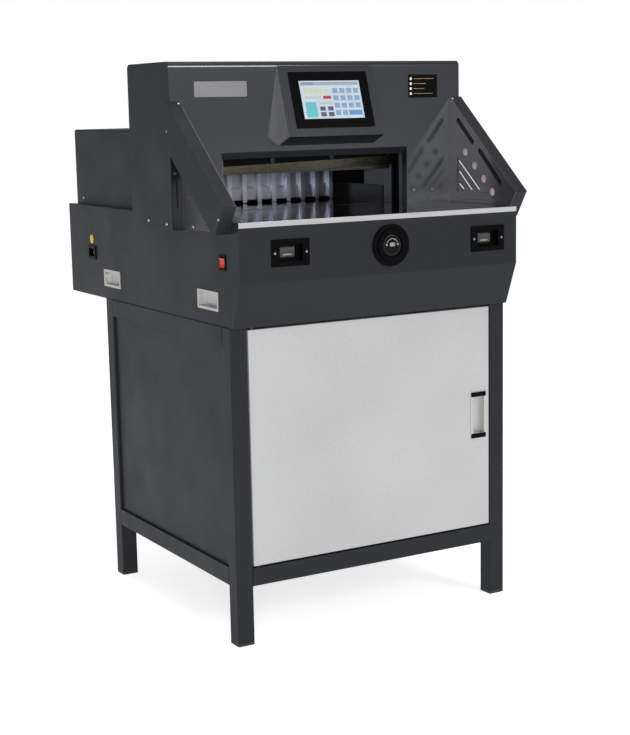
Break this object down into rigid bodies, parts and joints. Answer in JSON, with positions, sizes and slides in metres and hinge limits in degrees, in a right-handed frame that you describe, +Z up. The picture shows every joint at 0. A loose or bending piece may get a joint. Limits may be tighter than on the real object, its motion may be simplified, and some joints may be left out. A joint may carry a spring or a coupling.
{
  "type": "guillotine paper cutter",
  "caption": "Program-controlled guillotine paper cutter: gated cutting table, slanting knife, clamp and powered backgauge under a head with a touch screen, on a cabinet stand.",
  "frame": {"origin": "on the floor, in the middle of the machine's footprint", "axes": "+X to the operator's right, +Y from the operator towards the back, +Z up"},
  "size_m": [0.7816, 0.959, 1.261],
  "materials": {
    "dark_paint": "semi-gloss charcoal paint",
    "inner_frame_paint": "matt grey paint",
    "motor_paint": "satin black paint",
    "foot_rubber": "matt",
    "door_paint": "satin light grey paint",
    "pull_metal": "satin",
    "black_plastic": "satin",
    "red_plastic": "gloss",
    "button_plastic": "satin",
    "display_panel": "gloss",
    "table_steel": "ground",
    "stick_plastic": "matt",
    "blade_steel": "ground",
    "machined_steel": "machined",
    "bronze": "machined",
    "gauge_aluminium": "satin anodised"
  },
  "bodies": {
    "machine": {"backgauge_guide_rods": "machined_steel", "backgauge_motor": "motor_paint", "backgauge_rear_bracket": "inner_frame_paint", "button_housings": "black_plastic", "cabinet_floor": "dark_paint", "cabinet_panels": "dark_paint", "casing_base_pan": "dark_paint", "casing_front_panel": "dark_paint", "casing_left_side": "dark_paint", "casing_rear_panel": "dark_paint", "casing_right_side": "dark_paint", "clamp_bridge": "inner_frame_paint", "clamp_gear_motor": "motor_paint", "clamp_guide_bushes": "bronze", "cover_screws": "machined_steel", "cutting_stick": "stick_plastic", "dial_flange": "black_plastic", "door_hinge_pins": "machined_steel", "door_magnet": "black_plastic", "guard_arms": "dark_paint", "guard_grilles": "dark_paint", "guard_liners": "dark_paint", "head_crossbeam": "inner_frame_paint", "head_front_cover": "dark_paint", "head_side_covers": "dark_paint", "head_top_cover": "dark_paint", "knife_gear_motor": "motor_paint", "knife_guide_plate": "inner_frame_paint", "leg_feet": "foot_rubber", "lifting_pulls": "pull_metal", "pillar_covers": "dark_paint", "power_inlet": "black_plastic", "power_switch_frame": "black_plastic", "rear_cover": "dark_paint", "screen_bezel": "black_plastic", "screen_housing": "dark_paint", "side_frames": "inner_frame_paint", "side_guides": "gauge_aluminium", "stand_legs": "dark_paint", "stand_rails": "dark_paint", "table_beams": "inner_frame_paint", "table_plate": "table_steel", "touch_display": "display_panel"},
    "knife_block": {"knife_slide_block": "machined_steel", "knife_pivot_pin": "machined_steel"},
    "knife": {"knife_carrier": "inner_frame_paint", "knife_blade": "blade_steel", "knife_bolts": "machined_steel"},
    "knife_screw": {"knife_drive_screw": "machined_steel"},
    "clamp": {"clamp_beam": "machined_steel", "clamp_spindle_and_rods": "machined_steel"},
    "backgauge": {"backgauge_comb": "gauge_aluminium", "backgauge_carriage": "gauge_aluminium"},
    "gauge_screw": {"backgauge_lead_screw": "machined_steel"},
    "door": {"cabinet_door": "door_paint", "door_handle": "pull_metal"},
    "dial": {"dial_wheel": "black_plastic"},
    "left_button": {"left_cut_button": "button_plastic"},
    "right_button": {"right_cut_button": "button_plastic"},
    "rocker": {"power_rocker": "red_plastic"}
  },
  "joints": [
    {"name": "knife_slide", "type": "slide", "parent": "machine", "child": "knife_block", "axis": [-0.2756, 0, -0.9613], "range_m": [0, 0.0895]},
    {"name": "knife_swing", "type": "hinge", "parent": "knife_block", "child": "knife", "pos_m": [0, -0.1395, 1.19], "axis": [0, 1, 0], "range_deg": [0, 1.37]},
    {"name": "knife_screw_spin", "type": "hinge", "parent": "machine", "child": "knife_screw", "pos_m": [0.02643, -0.1655, 1.18242], "axis": [0.2756, 0, 0.9613], "continuous": true},
    {"name": "clamp_slide", "type": "slide", "parent": "machine", "child": "clamp", "axis": [0, 0, -1], "range_m": [0, 0.0815]},
    {"name": "backgauge_slide", "type": "slide", "parent": "machine", "child": "backgauge", "axis": [0, 1, 0], "range_m": [-0.185, 0.148]},
    {"name": "gauge_screw_spin", "type": "hinge", "parent": "machine", "child": "gauge_screw", "pos_m": [0, 0.1925, 1.03], "axis": [0, 1, 0], "continuous": true},
    {"name": "door_hinge", "type": "hinge", "parent": "machine", "child": "door", "pos_m": [-0.302, -0.4125, 0.4], "axis": [0, 0, -1], "range_deg": [0, 110]},
    {"name": "dial_turn", "type": "hinge", "parent": "machine", "child": "dial", "pos_m": [0.014, -0.4705, 0.8586], "axis": [0, -1, 0], "continuous": true},
    {"name": "left_button_press", "type": "slide", "parent": "machine", "child": "left_button", "axis": [0, 1, 0], "range_m": [0, 0.005], "stiffness_N_per_m": 400},
    {"name": "right_button_press", "type": "slide", "parent": "machine", "child": "right_button", "axis": [0, 1, 0], "range_m": [0, 0.005], "stiffness_N_per_m": 400},
    {"name": "rocker_tilt", "type": "hinge", "parent": "machine", "child": "rocker", "pos_m": [-0.347, -0.3935, 0.839], "axis": [0, 1, 0], "range_deg": [-8, 8]}
  ],
  "couplings": [
    {"joint": "knife_swing", "follows": "knife_slide", "rad_per_m": 0.2665},
    {"joint": "knife_screw_spin", "follows": "knife_slide", "rad_per_m": 628.32},
    {"joint": "gauge_screw_spin", "follows": "backgauge_slide", "rad_per_m": 628.32}
  ]
}
